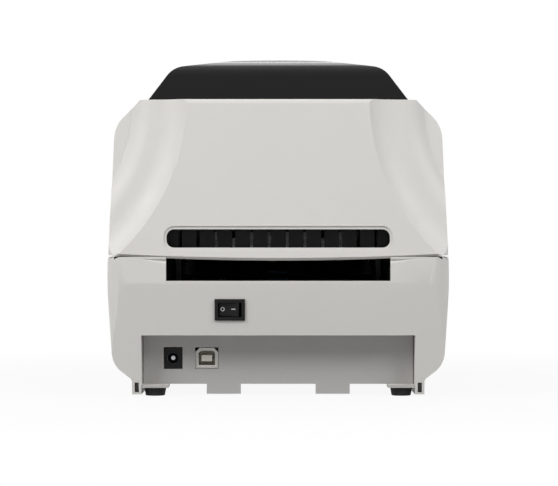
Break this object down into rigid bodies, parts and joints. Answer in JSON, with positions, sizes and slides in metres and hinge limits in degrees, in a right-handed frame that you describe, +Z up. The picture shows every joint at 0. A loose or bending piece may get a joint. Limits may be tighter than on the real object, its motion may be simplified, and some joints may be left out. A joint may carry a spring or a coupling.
{
  "type": "thermal label printer",
  "caption": "Desktop direct thermal label printer with a rear-hinged scooped lid, dark crowned window, rear media entry, and a recessed port panel.",
  "frame": {"origin": "centre of the bounding box at the height of the feet's lower faces", "axes": "+Z up, -Y towards the front where labels come out, +Y towards the rear ports, +X to the left in the picture's rear view"},
  "size_m": [0.178, 0.265, 0.1787],
  "materials": {
    "cover_plastic": "fine moulded texture, warm light grey",
    "chassis_plastic": "fine moulded texture, mid grey",
    "frame_plastic": "matt black",
    "panel_plastic": "matt dark grey",
    "window_plastic": "smooth smoked black",
    "foot_rubber": "matt",
    "platen_rubber": "ground matt",
    "steel": "zinc plated",
    "motor_metal": "zinc plated cans",
    "brass": "machined",
    "gear_plastic": "natural acetal",
    "board": "solder mask",
    "port_plastic": "natural",
    "ceramic": "glazed alumina",
    "heat_sink": "extruded",
    "lever_plastic": "satin green",
    "guide_plastic": "satin dark grey",
    "sensor_plastic": "satin blue",
    "lens": "clear green"
  },
  "bodies": {
    "base": {"lower_cover": "cover_plastic", "base_chassis": "chassis_plastic", "foot_rear_left": "foot_rubber", "foot_rear_right": "foot_rubber", "foot_front_left": "foot_rubber", "foot_front_right": "foot_rubber", "media_frame": "frame_plastic", "front_cover": "panel_plastic", "tear_bar": "steel", "key_board": "board", "status_lens": "lens", "switch_housing": "frame_plastic", "main_board": "board", "board_parts": "frame_plastic", "jack_body": "frame_plastic", "jack_pin": "steel", "usb_shell": "steel", "usb_tongue": "port_plastic", "stepper_motor": "motor_metal", "idler_stud": "steel", "bushing_left": "gear_plastic", "bushing_right": "gear_plastic", "head_pivot": "steel", "head_bridge": "steel", "head_spring_left": "steel", "head_spring_right": "steel", "hinge_pin_left": "steel", "hinge_pin_right": "steel"},
    "lid": {"lid_shell": "cover_plastic", "lid_window": "window_plastic", "lid_grid": "frame_plastic"},
    "feed_button": {"feed_button": "cover_plastic"},
    "rocker": {"switch_rocker": "frame_plastic"},
    "platen": {"platen_rubber": "platen_rubber", "platen_shaft": "steel", "platen_gear": "gear_plastic"},
    "idler": {"idler_gear": "gear_plastic"},
    "motor": {"motor_pinion": "brass"},
    "head": {"head_ceramic": "ceramic", "head_sink": "heat_sink", "head_bracket": "steel"},
    "cam": {"cam_shaft": "steel", "head_lever": "lever_plastic"},
    "guide_left": {"guide_left": "guide_plastic"},
    "guide_right": {"guide_right": "guide_plastic"},
    "guide_pinion": {"guide_pinion": "gear_plastic"},
    "hub_left": {"hub_left": "guide_plastic"},
    "hub_right": {"hub_right": "guide_plastic"},
    "sensor": {"sensor_carriage": "sensor_plastic"}
  },
  "joints": [
    {"name": "lid_hinge", "type": "hinge", "parent": "base", "child": "lid", "pos_m": [0, 0.12349, 0.0805], "axis": [-1, 0, 0], "range_deg": [0, 95]},
    {"name": "feed_button_press", "type": "slide", "parent": "base", "child": "feed_button", "axis": [0, 1, 0], "range_m": [0, 0.001], "stiffness_N_per_m": 400, "springref_m": -0.0005},
    {"name": "power_rocker", "type": "hinge", "parent": "base", "child": "rocker", "pos_m": [0.025, 0.12829, 0.04532], "axis": [0, 0.1219, 0.9925], "range_deg": [0, 22]},
    {"name": "platen_spin", "type": "hinge", "parent": "base", "child": "platen", "pos_m": [0, -0.1135, 0.0665], "axis": [1, 0, 0], "continuous": true},
    {"name": "idler_spin", "type": "hinge", "parent": "base", "child": "idler", "pos_m": [0, -0.09657, 0.05745], "axis": [1, 0, 0], "continuous": true},
    {"name": "motor_spin", "type": "hinge", "parent": "base", "child": "motor", "pos_m": [0, -0.084, 0.037], "axis": [1, 0, 0], "continuous": true},
    {"name": "head_lever_turn", "type": "hinge", "parent": "base", "child": "cam", "pos_m": [0, -0.098, 0.089], "axis": [1, 0, 0], "range_deg": [0, 80]},
    {"name": "head_lift", "type": "hinge", "parent": "base", "child": "head", "pos_m": [0, -0.08, 0.09], "axis": [-1, 0, 0], "range_deg": [0, 4], "deforming": ["head_spring_left", "head_spring_right"]},
    {"name": "guide_left_slide", "type": "slide", "parent": "base", "child": "guide_left", "axis": [-1, 0, 0], "range_m": [0, 0.0395]},
    {"name": "guide_right_slide", "type": "slide", "parent": "base", "child": "guide_right", "axis": [1, 0, 0], "range_m": [0, 0.0395]},
    {"name": "guide_pinion_spin", "type": "hinge", "parent": "base", "child": "guide_pinion", "pos_m": [0, 0.03, 0.014], "axis": [0, 0, 1], "range_deg": [0, 252]},
    {"name": "hub_left_spin", "type": "hinge", "parent": "guide_left", "child": "hub_left", "pos_m": [0.048, 0.03, 0.087], "axis": [1, 0, 0], "continuous": true},
    {"name": "hub_right_spin", "type": "hinge", "parent": "guide_right", "child": "hub_right", "pos_m": [-0.048, 0.03, 0.087], "axis": [1, 0, 0], "continuous": true},
    {"name": "sensor_slide", "type": "slide", "parent": "base", "child": "sensor", "axis": [1, 0, 0], "range_m": [-0.034, 0.034]}
  ],
  "couplings": [
    {"joint": "guide_right_slide", "follows": "guide_left_slide", "ratio": 1},
    {"joint": "guide_pinion_spin", "follows": "guide_left_slide", "rad_per_m": 111.11},
    {"joint": "idler_spin", "follows": "platen_spin", "ratio": -1.6667},
    {"joint": "motor_spin", "follows": "platen_spin", "ratio": 4.5833},
    {"joint": "head_lift", "follows": "head_lever_turn", "ratio": 0.05}
  ]
}
